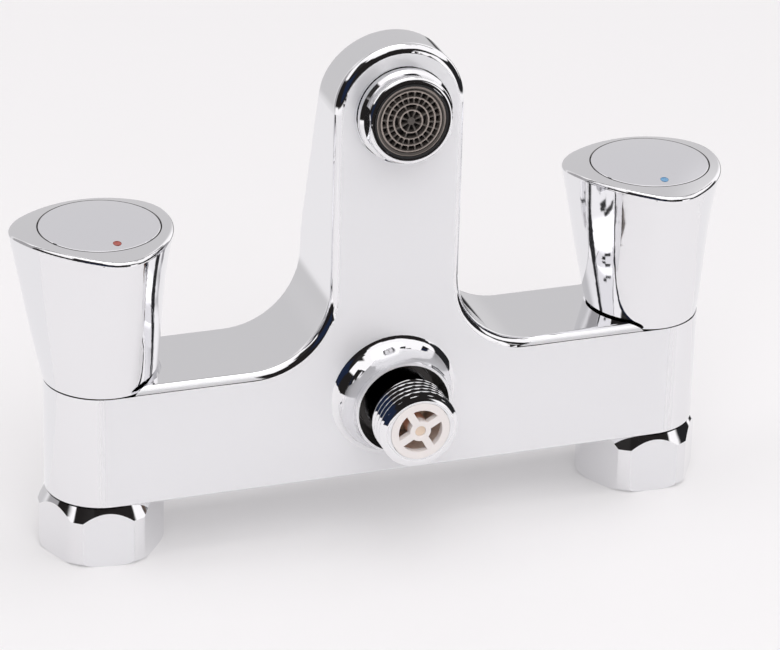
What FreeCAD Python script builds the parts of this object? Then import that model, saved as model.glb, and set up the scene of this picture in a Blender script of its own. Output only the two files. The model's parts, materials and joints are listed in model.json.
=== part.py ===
import FreeCAD, Part
import math
import operator
import os
from collections import namedtuple
from types import SimpleNamespace
import Sketcher
from FreeCAD import Placement, Rotation, Vector

# Wall mounted bath and shower mixer, standing on its two union nuts.
# Millimetres. The origin is midway between the inlets, on the plane of the nuts' open ends.
# +Z points away from the wall, -Y is the side that faces down once it is installed.
# The hot side is at -X and the cold side at +X.

SIZES = {
    # Overall layout
    "inlet_spacing": 150.0,
    "running_gap": 0.3,
    "fit_clearance": 0.05,
    "shaft_clearance": 0.06,
    # Union nuts
    "nut_across_flats": 30.0,
    "nut_corner_radius": 16.4,
    "nut_height": 16.4,
    "nut_collar": 3.2,
    "nut_thread_radius": 12.06,
    "nut_thread_length": 8.2,
    "nut_relief_radius": 12.5,
    "nut_shoulder_radius": 14.4,
    "nut_shoulder_height": 3.6,
    "nut_foot_round": 1.4,
    "nut_mouth_chamfer": 0.8,
    "hot_nut_turn": 52.5,
    "cold_nut_turn": 59.0,
    # Inlet connectors, washers and strainers
    "inlet_thread_radius": 10.4775,
    "connector_flange_radius": 11.7,
    "connector_flange": 2.4,
    "connector_bore_radius": 5.5,
    "connector_key_flats": 12.0,
    "connector_key_depth": 8.0,
    "connector_grip": 10.0,
    "washer_radius": 11.8,
    "washer_bore_radius": 7.2,
    "washer_thickness": 2.0,
    "strainer_radius": 7.1,
    "strainer_thickness": 0.6,
    "strainer_hole_radius": 0.7,
    "strainer_inner_circle": 2.6,
    "strainer_outer_circle": 5.2,
    # Cast body
    "nut_to_body_gap": 0.4,
    "bar_height": 33.5,
    "bar_half_depth": 14.8,
    "spout_half_width": 17.5,
    "spout_root_radius": 20.5,
    "spout_tip_height": 137.5,
    "spout_taper_rise": 25.3,
    "spout_knee_drop": 16.0,
    "spout_knee_depth": 0.8,
    "spout_tip_depth": -2.5,
    "spout_bend_radius": 60.0,
    "edge_round": 2.3,
    "bottom_round": 0.6,
    "cast_wall": 2.8,
    "waterway_radius": 4.6,
    "spout_feed_width": 14.0,
    "handle_seat_radius": 15.7,
    "handle_seat_depth": 2.1,
    "socket_runout": 0.5,
    "seat_web": 3.0,
    "seat_hole_radius": 6.5,
    "chamber_radius": 11.4,
    "chamber_height": 10.0,
    # Ceramic headparts
    "valve_seal_thickness": 2.5,
    "valve_seal_bore_radius": 6.3,
    "fixed_disc_thickness": 3.0,
    "moving_disc_thickness": 3.5,
    "disc_port_radius": 2.2,
    "disc_port_circle": 4.6,
    "skirt_radius": 9.3,
    "skirt_bore_radius": 8.6,
    "skirt_lift": 0.5,
    "window_width": 7.0,
    "window_height": 3.4,
    "headpart_flange_radius": 12.0,
    "headpart_flange": 2.0,
    "headpart_flats": 19.0,
    "headpart_hex_height": 6.0,
    "headpart_neck_radius": 7.5,
    "headpart_neck_height": 6.5,
    # Spindles
    "drive_radius": 7.8,
    "drive_thickness": 2.5,
    "tang_width": 3.0,
    "tang_length": 10.0,
    "tang_height": 1.2,
    "spindle_radius": 4.0,
    "spindle_groove_radius": 2.9,
    "spindle_groove_width": 2.0,
    "spindle_groove_spacing": 4.5,
    "spindle_ring_section": 0.53,
    "clip_groove_radius": 3.2,
    "clip_radius": 6.2,
    "clip_thickness": 0.7,
    "clip_opening": 4.6,
    "spline_length": 10.0,
    "spline_notch": 0.5,
    "spline_count": 20,
    "screw_hole_depth": 9.5,
    # Handles
    "handle_long_lobe_top": 24.1,
    "handle_short_lobe_top": 22.3,
    "handle_lobe_round_top": 11.0,
    "handle_side_radius_top": 35.5,
    "handle_back_radius_top": 27.8,
    "handle_long_lobe_upper": 20.8,
    "handle_short_lobe_upper": 19.2,
    "handle_lobe_round_upper": 10.5,
    "handle_side_radius_upper": 32.3,
    "handle_back_radius_upper": 26.8,
    "handle_long_lobe_lower": 18.1,
    "handle_short_lobe_lower": 17.1,
    "handle_lobe_round_lower": 11.0,
    "handle_side_radius_lower": 22.7,
    "handle_back_radius_lower": 20.3,
    "handle_long_lobe_foot": 15.0,
    "handle_short_lobe_foot": 14.8,
    "handle_lobe_round_foot": 13.0,
    "handle_side_radius_foot": 15.4,
    "handle_back_radius_foot": 15.2,
    "handle_lower_level": 62.0,
    "handle_upper_level": 75.6,
    "handle_top_level": 92.0,
    "handle_dome_radius": 84.0,
    "handle_crown": 91.86,
    "handle_rim_round": 1.1,
    "handle_bore_radius": 12.7,
    "handle_cavity_radius": 13.9,
    "handle_deck_under": 83.8,
    "handle_boss_radius": 9.0,
    "insert_radius": 6.5,
    "insert_height": 11.0,
    "screw_web": 3.0,
    "screw_radius": 2.45,
    "screw_head_radius": 4.6,
    "screw_head_height": 3.0,
    "screw_key_flats": 3.0,
    "screw_key_depth": 2.0,
    "screw_well_radius": 5.2,
    "hot_handle_turn": 157.0,
    "cold_handle_turn": 152.5,
    # Handle caps
    "cap_radius": 15.64,
    "cap_floor": 87.2,
    "cap_skirt": 1.4,
    "cap_seam": 0.2,
    "cap_underside": 89.0,
    "cap_plug_radius": 5.0,
    "cap_plug_wall": 1.6,
    "cap_plug_foot": 84.5,
    "dot_radius": 1.05,
    "dot_depth": 0.7,
    "dot_circle": 12.6,
    "hot_dot_angle": 276.0,
    "cold_dot_angle": 266.0,
    # Shower outlet and its non-return valve
    "outlet_level": 39.4,
    "boss_radius": 13.0,
    "boss_foot_bend": 3.3,
    "boss_neck_bend": 10.4,
    "boss_bend_change": 50.0,
    "boss_flare_sink": 0.15,
    "boss_reach": 23.5,
    "boss_recess_radius": 12.35,
    "boss_recess_floor": 15.5,
    "nipple_root": 8.0,
    "nipple_reach": 36.6,
    "nipple_chamfer": 0.9,
    "nipple_land": 0.2,
    "nipple_relief": 6.0,
    "nipple_relief_reach": 3.5,
    "nipple_relief_radius": 8.9,
    "nipple_stop": 20.0,
    "nipple_stop_radius": 6.0,
    "nipple_bore_radius": 8.0,
    "cage_radius": 7.9,
    "cage_wall": 1.0,
    "cage_seat": 1.5,
    "cage_seat_radius": 5.0,
    "cage_face": 1.8,
    "cage_proud": 0.1,
    "cage_hub_radius": 2.8,
    "cage_hub_length": 5.7,
    "cage_window_radius": 5.9,
    "cage_spoke": 2.0,
    "cage_spoke_turn": 30.0,
    "cage_groove_radius": 7.3,
    "cage_groove_width": 0.8,
    "cage_groove_depth_in": 5.0,
    "cage_ring_section": 0.31,
    "poppet_radius": 5.9,
    "poppet_thickness": 1.5,
    "poppet_stem_radius": 1.4,
    "poppet_stem_short": 0.5,
    "poppet_seal": 0.6,
    "poppet_seal_bore_radius": 3.0,
    "poppet_seal_radius": 5.7,
    "poppet_spring_wire": 0.4,
    "poppet_spring_radius": 2.1,
    "poppet_spring_turns": 5,
    # Diverter
    "diverter_boss_radius": 13.0,
    "diverter_boss_reach": 18.0,
    "diverter_thread_radius": 10.0,
    "diverter_chamber_radius": 9.0,
    "diverter_seat_radius": 5.5,
    "diverter_inner_seat": 5.5,
    "diverter_seat_web": 2.5,
    "diverter_chamber_end": 12.5,
    "gasket_thickness": 1.0,
    "gasket_radius": 11.8,
    "bonnet_flange": 1.5,
    "bonnet_flange_radius": 11.6,
    "bonnet_flats": 17.0,
    "bonnet_hex_height": 3.5,
    "diverter_rod_radius": 3.0,
    "diverter_tail_radius": 2.0,
    "diverter_seal_radius": 7.2,
    "diverter_seal_thickness": 1.2,
    "diverter_disc_radius": 7.5,
    "diverter_disc_thickness": 2.0,
    "diverter_seat_gap": 0.1,
    "diverter_nut_flats": 6.4,
    "diverter_nut_height": 2.0,
    "diverter_rod_groove_radius": 2.2,
    "diverter_ring_section": 0.4,
    "diverter_ring_level": 15.5,
    "diverter_spring_wire": 0.6,
    "diverter_spring_radius": 4.2,
    "diverter_spring_turns": 6,
    "knob_gap": 0.4,
    "knob_height": 11.6,
    "knob_foot_radius": 6.2,
    "knob_waist_radius": 5.2,
    "knob_head_radius": 8.0,
    "knob_head_height": 4.0,
    "knob_round": 1.2,
    "knob_socket_depth": 7.5,
    # Aerator
    "aerator_drop": 18.17,
    "aerator_tip": 85.0,
    "nozzle_collar_radius": 12.6,
    "nozzle_collar_reach": 1.9,
    "nozzle_thread_radius": 11.0,
    "nozzle_thread_length": 2.6,
    "nozzle_bore_radius": 9.3,
    "housing_gap": 0.3,
    "housing_radius": 12.4,
    "housing_band": 1.9,
    "housing_nose_radius": 11.6,
    "housing_reach": 8.2,
    "housing_lip_round": 1.2,
    "housing_flats": 21.6,
    "housing_bore_radius": 9.95,
    "aerator_ring_radius": 9.8,
    "aerator_ring_bore": 9.25,
    "aerator_ring_proud": 0.1,
    "insert_disc_radius": 9.2,
    "insert_disc_thickness": 1.7,
    "insert_sink": 0.35,
    "core_thickness": 2.8,
    "grid_hub_radius": 0.8,
    "grid_ring_one": 2.95,
    "grid_ring_two": 4.6,
    "grid_ring_three": 6.3,
    "grid_ring_four": 7.9,
    "grid_bar": 0.4,
    "grid_spokes": 8,
    "grid_cells": 24,
    "grid_groove_radius": 8.15,
    "grid_groove_width": 0.3,
    "grid_groove_depth": 0.5,
    "core_hole_radius": 0.8,
    "core_holes": 12,
    "core_hole_circle": 6.0,
}

OPERATORS = {"+": operator.add, "-": operator.sub, "*": operator.mul, "/": operator.truediv}
TOUCHING = 1e-6


class Size:
    """A size that carries its own formula, so that a sketch is drawn with it and then bound to it."""

    def __init__(self, value, formula, fixed=False):
        self.value = value
        self.formula = formula
        self.fixed = fixed

    def __add__(self, other):
        return combine(self, "+", other)

    def __radd__(self, other):
        return combine(other, "+", self)

    def __sub__(self, other):
        return combine(self, "-", other)

    def __rsub__(self, other):
        return combine(other, "-", self)

    def __mul__(self, other):
        return combine(self, "*", other)

    def __rmul__(self, other):
        return combine(other, "*", self)

    def __truediv__(self, other):
        return combine(self, "/", other)

    def __rtruediv__(self, other):
        return combine(other, "/", self)

    def __neg__(self):
        return combine(-1, "*", self)


def as_size(number):
    return number if isinstance(number, Size) else Size(float(number), str(number), fixed=True)


def combine(left, sign, right):
    left = as_size(left)
    right = as_size(right)
    value = OPERATORS[sign](left.value, right.value)
    return Size(value, f"({left.formula} {sign} {right.formula})", left.fixed and right.fixed)


def cosine(angle):
    angle = as_size(angle)
    return Size(math.cos(math.radians(angle.value)), f"cos({angle.formula})")


def sine(angle):
    angle = as_size(angle)
    return Size(math.sin(math.radians(angle.value)), f"sin({angle.formula})")


def root(number):
    return Size(math.sqrt(number.value), f"sqrt({number.formula})")


doc = FreeCAD.newDocument("bath_mixer")
sheet = doc.addObject("Spreadsheet::Sheet", "Sizes")
for row, (alias, number) in enumerate(SIZES.items(), start=1):
    sheet.set(f"A{row}", alias)
    sheet.set(f"B{row}", str(number))
    sheet.setAlias(f"B{row}", alias)
doc.recompute()
S = SimpleNamespace(**{alias: Size(number, f"Sizes.{alias}") for alias, number in SIZES.items()})

Arc = namedtuple("Arc", "end centre radius")
bodies = []


# Levels along an inlet axis, from the floor up

collar_under = S.nut_height - S.nut_collar
connector_top_face = collar_under - S.running_gap
connector_under = connector_top_face - S.connector_flange
washer_under = connector_under - S.washer_thickness
body_bottom = S.nut_height + S.nut_to_body_gap
bar_top = body_bottom + S.bar_height
seat_floor = bar_top - S.handle_seat_depth
connector_end = body_bottom + S.connector_grip
socket_end = connector_end + S.socket_runout
valve_seat = socket_end + S.seat_web
chamber_top = valve_seat + S.chamber_height
waterway_level = valve_seat + S.chamber_height / 2
fixed_disc_under = valve_seat + S.valve_seal_thickness
moving_disc_under = fixed_disc_under + S.fixed_disc_thickness
drive_under = moving_disc_under + S.moving_disc_thickness
drive_top = drive_under + S.drive_thickness
skirt_ceiling = drive_top + S.running_gap
flange_top = seat_floor + S.headpart_flange
hex_top = flange_top + S.headpart_hex_height
neck_top = hex_top + S.headpart_neck_height
clip_under = neck_top + S.running_gap
clip_top = clip_under + S.clip_thickness
spline_under = clip_top + S.running_gap
spindle_top = spline_under + S.spline_length
insert_top = spline_under + S.insert_height
screw_seat = insert_top + S.screw_web
handle_foot = seat_floor + S.running_gap
arch_centre = S.spout_tip_height - S.spout_half_width
taper_start = bar_top + S.spout_taper_rise
knee_height = S.spout_tip_height - S.spout_knee_drop
aerator_level = S.spout_tip_height - S.aerator_drop


# Document helpers

def bind(item, name, formula):
    item.setExpression(name, as_size(formula).formula)


def new_body(label, x=0, y=0, z=0, turn=None, tip=None):
    """A body standing at x, y, z, turned about the upright axis or tipped from +Z towards -Y."""
    body = doc.addObject("PartDesign::Body", label)
    body.Label = label
    spot = [as_size(number) for number in (x, y, z)]
    axis = Vector(1, 0, 0) if tip is not None else Vector(0, 0, 1)
    angle = as_size(tip if tip is not None else turn or 0)
    body.Placement = Placement(Vector(*[size.value for size in spot]), Rotation(axis, angle.value))
    for name, size in zip("xyz", spot):
        if not size.fixed:
            bind(body, f"Placement.Base.{name}", size)
    if not angle.fixed:
        bind(body, "Placement.Rotation.Angle", angle)
    bodies.append(body)
    return body


def new_sketch(body, name, plane="XZ", shift=(0, 0, 0), tilt=None):
    """A sketch on one of the body's own planes, moved by shift and tilted about its own first axis."""
    sketch = body.newObject("Sketcher::SketchObject", f"{body.Label}_{name}_sketch")
    origin_plane = next(item for item in body.Origin.OriginFeatures if item.Role == f"{plane}_Plane")
    sketch.AttachmentSupport = [(origin_plane, "")]
    sketch.MapMode = "FlatFace"
    spot = [as_size(number) for number in shift]
    angle = as_size(tilt or 0)
    turned_by = Rotation(Vector(1, 0, 0), angle.value)
    sketch.AttachmentOffset = Placement(Vector(*[size.value for size in spot]), turned_by)
    for axis, size in zip("xyz", spot):
        if not size.fixed:
            bind(sketch, f"AttachmentOffset.Base.{axis}", size)
    if not angle.fixed:
        bind(sketch, "AttachmentOffset.Rotation.Angle", angle)
    return sketch


def constrain(sketch, rules):
    """Adds (kind, arguments, size) rules and binds each one that has a size."""
    first = sketch.ConstraintCount
    made = []
    for kind, arguments, size in rules:
        extra = () if size is None else (as_size(size).value,)
        made.append(Sketcher.Constraint(kind, *arguments, *extra))
    sketch.addConstraint(made)
    for index, (kind, arguments, size) in enumerate(rules, start=first):
        if size is not None:
            bind(sketch, f"Constraints[{index}]", size)


def hold(piece, end, point):
    """Rules that hold one end of a sketch piece at a point given by two sizes."""
    across, along = (as_size(number) for number in point)
    rules = []
    if across.fixed and across.value == 0:
        rules.append(("PointOnObject", (piece, end, -2), None))
    else:
        rules.append(("DistanceX", (-1, 1, piece, end), across))
    if along.fixed and along.value == 0:
        rules.append(("PointOnObject", (piece, end, -1), None))
    else:
        rules.append(("DistanceY", (-1, 1, piece, end), along))
    return rules


def flat(point):
    return Vector(as_size(point[0]).value, as_size(point[1]).value, 0)


def arc_piece(here, arc):
    """The arc from here to its end, with its first and last ends in the order of travel."""
    centre = flat(arc.centre)
    start = here - centre
    stop = flat(arc.end) - centre
    first = math.atan2(start.y, start.x)
    last = math.atan2(stop.y, stop.x)
    circle_line = Part.Circle(centre, Vector(0, 0, 1), as_size(arc.radius).value)
    if start.cross(stop).z > 0:
        return Part.ArcOfCircle(circle_line, first, last), 1, 2
    return Part.ArcOfCircle(circle_line, last, first), 2, 1


def draw(sketch, corners):
    """Draws a closed outline of straight lines and arcs, and holds each corner by its formulas."""
    ends = [corner.end if isinstance(corner, Arc) else corner for corner in corners]
    steps = list(corners[1:])
    if (flat(ends[-1]) - flat(ends[0])).Length > TOUCHING:
        steps.append(corners[0])
    here = ends[0]
    pieces = []
    rules = []
    for step in steps:
        if isinstance(step, Arc):
            shape, first, last = arc_piece(flat(here), step)
            there = step.end
        else:
            shape, first, last = Part.LineSegment(flat(here), flat(step)), 1, 2
            there = step
        index = sketch.addGeometry(shape, False)
        rules += hold(index, first, here)
        if isinstance(step, Arc):
            rules.append(("Radius", (index,), step.radius))
        pieces.append((index, first, last))
        here = there
    for before, after in zip(pieces, pieces[1:] + pieces[:1]):
        rules.append(("Coincident", (before[0], before[2], after[0], after[1]), None))
    constrain(sketch, rules)
    return sketch


def draw_circle(sketch, radius, centre=(0, 0)):
    index = sketch.addGeometry(Part.Circle(flat(centre), Vector(0, 0, 1), as_size(radius).value), False)
    constrain(sketch, hold(index, 3, centre) + [("Radius", (index,), radius)])
    return sketch


def hexagon(across_flats):
    """Corners of a hexagon with two of its flats square to the second axis."""
    reach = across_flats / 2 / cosine(30)
    return [(reach * cosine(60 * step), reach * sine(60 * step)) for step in range(6)]


def rectangle(low, high):
    return [low, (high[0], low[1]), high, (low[0], high[1])]


def add(body, kind, name, sketch, **settings):
    feature = body.newObject(f"PartDesign::{kind}", f"{body.Label}_{name}")
    feature.Profile = sketch
    for setting, choice in settings.items():
        if isinstance(choice, Size):
            setattr(feature, setting, choice.value)
            bind(feature, setting, choice)
        else:
            setattr(feature, setting, choice)
    sketch.Visibility = False
    return feature


def revolve(body, name, corners, kind="Revolution", plane="XZ", axis="V_Axis", shift=(0, 0, 0)):
    sketch = draw(new_sketch(body, name, plane, shift), corners)
    return add(body, kind, name, sketch, ReferenceAxis=(sketch, [axis]), Angle=360.0)


def turned(label, corners, **place):
    """A piece turned on a lathe: one outline of (radius, level) corners about the upright axis."""
    body = new_body(label, **place)
    revolve(body, "profile", corners)
    return body


def ring(label, inner, outer, low, high, **place):
    return turned(label, rectangle((inner, low), (outer, high)), **place)


def o_rings(label, radius, section, levels, **place):
    """Round section rings about the upright axis."""
    body = new_body(label, **place)
    body.AllowCompound = True
    for number, level in enumerate(levels):
        name = f"ring_{number}"
        sketch = draw_circle(new_sketch(body, name), section, (radius, level))
        add(body, "Revolution", name, sketch, ReferenceAxis=(sketch, ["V_Axis"]), Angle=360.0)
    return body


def polar(body, name, feature, count, axis_sketch):
    pattern = body.newObject("PartDesign::PolarPattern", f"{body.Label}_{name}")
    pattern.Originals = [feature]
    pattern.Axis = (axis_sketch, ["N_Axis"])
    pattern.Angle = 360.0
    pattern.Occurrences = int(count.value)
    bind(pattern, "Occurrences", count)
    body.Tip = pattern
    return pattern


def sharp_edges(shape, wanted):
    """Names of the edges between two faces that meet at an angle, where wanted accepts the middle."""
    names = []
    for number, edge in enumerate(shape.Edges, start=1):
        faces = shape.ancestorsOfType(edge, Part.Face)
        if len(faces) != 2:
            continue
        middle = edge.valueAt((edge.FirstParameter + edge.LastParameter) / 2)
        normals = []
        for face in faces:
            across, along = face.Surface.parameter(middle)
            normals.append(face.normalAt(across, along))
        if normals[0].getAngle(normals[1]) > math.radians(12) and wanted(middle):
            names.append(f"Edge{number}")
    return names


def round_edges(body, name, radius, wanted):
    doc.recompute()
    base = body.Tip
    fillet = body.newObject("PartDesign::Fillet", f"{body.Label}_{name}")
    fillet.Base = (base, sharp_edges(base.Shape, wanted))
    fillet.Radius = radius.value
    bind(fillet, "Radius", radius)
    return fillet


# Union nuts, inlet connectors, washers and strainers

def union_nut(label, x, turn):
    body = new_body(label, x=x, turn=turn)
    blank = draw(new_sketch(body, "blank", "XY"), hexagon(S.nut_across_flats))
    add(body, "Pad", "blank", blank, Length=S.nut_height)
    outside = S.nut_across_flats
    flat_shoulder = S.nut_height - S.nut_shoulder_height
    round_start = S.nut_corner_radius - S.nut_foot_round
    revolve(body, "shoulder", [
        (round_start, 0),
        Arc((S.nut_corner_radius, S.nut_foot_round), (round_start, S.nut_foot_round), S.nut_foot_round),
        (S.nut_corner_radius, flat_shoulder),
        (S.nut_shoulder_radius, S.nut_height),
        (S.nut_shoulder_radius, S.nut_height + 1),
        (outside, S.nut_height + 1),
        (outside, -1),
        (round_start, -1),
    ], kind="Groove")
    mouth = S.nut_thread_radius + S.nut_mouth_chamfer
    collar_bore = S.inlet_thread_radius + S.running_gap
    revolve(body, "bore", [
        (0, -1),
        (mouth, -1),
        (mouth, 0),
        (S.nut_thread_radius, S.nut_mouth_chamfer),
        (S.nut_thread_radius, S.nut_thread_length),
        (S.nut_relief_radius, S.nut_thread_length),
        (S.nut_relief_radius, collar_under),
        (collar_bore, collar_under),
        (collar_bore, S.nut_height + 1),
        (0, S.nut_height + 1),
    ], kind="Groove")


def inlet_connector(label, x):
    body = turned(label, [
        (S.connector_bore_radius, connector_under),
        (S.connector_flange_radius, connector_under),
        (S.connector_flange_radius, connector_top_face),
        (S.inlet_thread_radius, connector_top_face),
        (S.inlet_thread_radius, connector_end),
        (S.connector_bore_radius, connector_end),
    ], x=x)
    key = draw(new_sketch(body, "key", "XY", (0, 0, connector_under)), hexagon(S.connector_key_flats))
    add(body, "Pocket", "key", key, Length=S.connector_key_depth, Reversed=True)


def strainer(label, x):
    under = washer_under + (S.washer_thickness - S.strainer_thickness) / 2
    body = new_body(label, x=x, z=under)
    plate = draw_circle(new_sketch(body, "plate", "XY"), S.strainer_radius)
    add(body, "Pad", "plate", plate, Length=S.strainer_thickness)
    for name, circle_radius, count in (
        ("inner", S.strainer_inner_circle, 6),
        ("outer", S.strainer_outer_circle, 12),
    ):
        hole = new_sketch(body, name, "XY")
        for step in range(count):
            angle = 360 / count * step
            spot = (circle_radius * cosine(angle), circle_radius * sine(angle))
            draw_circle(hole, S.strainer_hole_radius, spot)
        add(body, "Pocket", name, hole, Length=S.strainer_thickness * 3, Midplane=True)


# Cast body: bar, spout, shower boss, diverter boss and their waterways

def bar_and_spout(body):
    half = S.inlet_spacing / 2
    depth = S.bar_half_depth
    plan = draw(new_sketch(body, "bar", "XY", (0, 0, body_bottom)), [
        (-half, -depth),
        (half, -depth),
        Arc((half + depth, 0), (half, 0), depth),
        Arc((half, depth), (half, 0), depth),
        (-half, depth),
        Arc((-half - depth, 0), (-half, 0), depth),
        Arc((-half, -depth), (-half, 0), depth),
    ])
    add(body, "Pad", "bar", plan, Length=S.bar_height)
    wide = S.spout_half_width
    bend = S.spout_root_radius
    root_level = bar_top + bend
    front = draw(new_sketch(body, "spout"), [
        (wide + bend, bar_top - S.edge_round * 2),
        (wide + bend, bar_top),
        Arc((wide, root_level), (wide + bend, root_level), bend),
        (wide, arch_centre),
        Arc((0, S.spout_tip_height), (0, arch_centre), wide),
        Arc((-wide, arch_centre), (0, arch_centre), wide),
        (-wide, root_level),
        Arc((-wide - bend, bar_top), (-wide - bend, root_level), bend),
        (-wide - bend, bar_top - S.edge_round * 2),
    ])
    add(body, "Pad", "spout", front, Length=depth * 2, Midplane=True)


def back_profile(inset):
    """Depth and height of the two bends and the tip of the spout's back, moved in by a wall."""
    return [
        (S.bar_half_depth - inset, taper_start),
        (S.spout_knee_depth - inset, knee_height),
        (S.spout_tip_depth - inset, S.spout_tip_height),
    ]


def taper(body):
    start, knee, tip = back_profile(0)
    beyond = S.bar_half_depth * 2
    side = draw(new_sketch(body, "taper", "YZ"), [
        start,
        knee,
        tip,
        (S.spout_tip_depth, S.spout_tip_height + 1),
        (beyond, S.spout_tip_height + 1),
        (beyond, taper_start),
    ])
    add(body, "Pocket", "taper", side, Length=S.spout_half_width * 4, Midplane=True)
    round_edges(body, "bends", S.spout_bend_radius, lambda spot: abs(spot.x) < 1 and is_bend(spot))


def is_bend(spot):
    on_back = spot.y > S.spout_tip_depth.value + 1
    return on_back and taper_start.value - 1 < spot.z < knee_height.value + 1


def bosses(body):
    face = S.bar_half_depth
    sunk = face - S.boss_flare_sink
    foot_share = sine(S.boss_bend_change)
    neck_share = cosine(S.boss_bend_change)
    neck_centre = S.boss_radius + S.boss_neck_bend
    change_radius = neck_centre - S.boss_neck_bend * foot_share
    foot = change_radius + S.boss_foot_bend * foot_share
    change_level = sunk + S.boss_foot_bend * (1 - neck_share)
    neck_level = change_level + S.boss_neck_bend * neck_share
    revolve(body, "shower_boss", [
        (-sunk + 1, 0),
        (-sunk + 1, foot),
        (-sunk, foot),
        Arc((-change_level, change_radius), (-sunk - S.boss_foot_bend, foot), S.boss_foot_bend),
        Arc((-neck_level, S.boss_radius), (-neck_level, neck_centre), S.boss_neck_bend),
        (-S.boss_reach, S.boss_radius),
        (-S.boss_reach, 0),
    ], plane="YZ", axis="H_Axis", shift=(0, S.outlet_level, 0))
    revolve(body, "diverter_boss", rectangle(
        (face - 1, 0), (S.diverter_boss_reach, S.diverter_boss_radius),
    ), plane="YZ", axis="H_Axis", shift=(0, S.outlet_level, 0))
    nozzle = S.nozzle_collar_reach + S.nozzle_thread_length
    for name, radius, length in (
        ("collar", S.nozzle_collar_radius, S.nozzle_collar_reach),
        ("nozzle", S.nozzle_thread_radius, nozzle),
    ):
        end = new_sketch(body, name, "XY", (0, -face, aerator_level), S.aerator_tip)
        draw_circle(end, radius)
        add(body, "Pad", name, end, SideType="Two sides", Length=length, Length2=S.cast_wall)


def inlet_bores(body):
    thread = S.inlet_thread_radius + S.fit_clearance
    for name, side in (("hot", -1), ("cold", 1)):
        revolve(body, f"{name}_bore", [
            (0, body_bottom - 1),
            (thread, body_bottom - 1),
            (thread, socket_end),
            (S.seat_hole_radius, socket_end),
            (S.seat_hole_radius, valve_seat),
            (S.chamber_radius, valve_seat),
            (S.chamber_radius, chamber_top),
            (thread, chamber_top),
            (thread, seat_floor),
            (S.handle_seat_radius, seat_floor),
            (S.handle_seat_radius, bar_top + 1),
            (0, bar_top + 1),
        ], kind="Groove", shift=(S.inlet_spacing / 2 * side, 0, 0))


def outlet_bores(body):
    nipple = S.inlet_thread_radius + S.fit_clearance
    inner = S.diverter_inner_seat
    outer = inner + S.diverter_seat_web
    revolve(body, "outlet_bore", [
        (-S.boss_reach - 1, 0),
        (-S.boss_reach - 1, S.boss_recess_radius),
        (-S.boss_recess_floor, S.boss_recess_radius),
        (-S.boss_recess_floor, nipple),
        (-S.nipple_root, nipple),
        (-S.nipple_root, S.diverter_seat_radius),
        (-inner, S.diverter_seat_radius),
        (-inner, S.diverter_chamber_radius),
        (inner, S.diverter_chamber_radius),
        (inner, S.diverter_seat_radius),
        (outer, S.diverter_seat_radius),
        (outer, S.diverter_chamber_radius),
        (S.diverter_chamber_end, S.diverter_chamber_radius),
        (S.diverter_chamber_end, S.diverter_thread_radius + S.fit_clearance),
        (S.diverter_boss_reach + 1, S.diverter_thread_radius + S.fit_clearance),
        (S.diverter_boss_reach + 1, 0),
    ], kind="Groove", plane="YZ", axis="H_Axis", shift=(0, S.outlet_level, 0))


def waterways(body):
    cross = draw_circle(new_sketch(body, "crossway", "YZ"), S.waterway_radius, (0, waterway_level))
    add(body, "Pocket", "crossway", cross, Length=S.inlet_spacing, Midplane=True)
    wall = S.cast_wall
    half = S.spout_feed_width / 2
    outer = S.diverter_inner_seat + S.diverter_seat_web
    cavity_floor = bar_top + wall
    feed = draw(new_sketch(body, "feed", "XY", (0, 0, S.outlet_level)), rectangle(
        (-half, outer), (half, S.diverter_chamber_end),
    ))
    add(body, "Pocket", "feed", feed, Length=cavity_floor + wall - S.outlet_level, Reversed=True)
    start, knee, tip = back_profile(wall)
    front = -S.bar_half_depth + wall
    hollow = draw(new_sketch(body, "hollow", "YZ"), [
        (front, cavity_floor),
        (start[0], cavity_floor),
        start,
        knee,
        (front, knee_height),
    ])
    add(body, "Pocket", "hollow", hollow, Length=(S.spout_half_width - wall) * 2, Midplane=True)
    reach = S.bar_half_depth - wall
    end = new_sketch(body, "tip", "XZ", (0, 0, reach))
    draw_circle(end, S.spout_half_width - wall, (0, arch_centre))
    tip_room = reach + S.spout_tip_depth - wall
    add(body, "Pocket", "tip", end, Length=tip_room)
    mouth = new_sketch(body, "mouth", "XY", (0, -S.bar_half_depth, aerator_level), S.aerator_tip)
    draw_circle(mouth, S.nozzle_bore_radius)
    beyond = S.nozzle_collar_reach + S.nozzle_thread_length + 1
    add(body, "Pocket", "mouth", mouth, SideType="Two sides", Length=wall * 2, Length2=beyond)


def cast_body():
    body = new_body("body_casting")
    bar_and_spout(body)
    taper(body)
    low = body_bottom.value + 0.5
    round_edges(body, "edges", S.edge_round, lambda spot: spot.z > low)
    round_edges(body, "under", S.bottom_round, lambda spot: spot.z < low)
    bosses(body)
    inlet_bores(body)
    outlet_bores(body)
    waterways(body)


# Ceramic headparts

def valve_disc(label, x, under, thickness, radius, port_angle):
    body = new_body(label, x=x, z=under)
    blank = draw_circle(new_sketch(body, "blank", "XY"), radius)
    add(body, "Pad", "blank", blank, Length=thickness)
    ports = new_sketch(body, "ports", "XY")
    for angle in (port_angle, port_angle + 180):
        spot = (S.disc_port_circle * cosine(angle), S.disc_port_circle * sine(angle))
        draw_circle(ports, S.disc_port_radius, spot)
    add(body, "Pocket", "ports", ports, Length=thickness * 3, Midplane=True)
    return body


def moving_disc(label, x):
    radius = S.skirt_bore_radius - S.running_gap
    body = valve_disc(label, x, moving_disc_under, S.moving_disc_thickness, radius, 90)
    wide = S.tang_width / 2 + S.fit_clearance
    long = S.tang_length / 2 + S.fit_clearance
    slot = new_sketch(body, "slot", "XY", (0, 0, S.moving_disc_thickness))
    draw(slot, rectangle((-long, -wide), (long, wide)))
    add(body, "Pocket", "slot", slot, Length=S.tang_height + S.fit_clearance)


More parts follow.
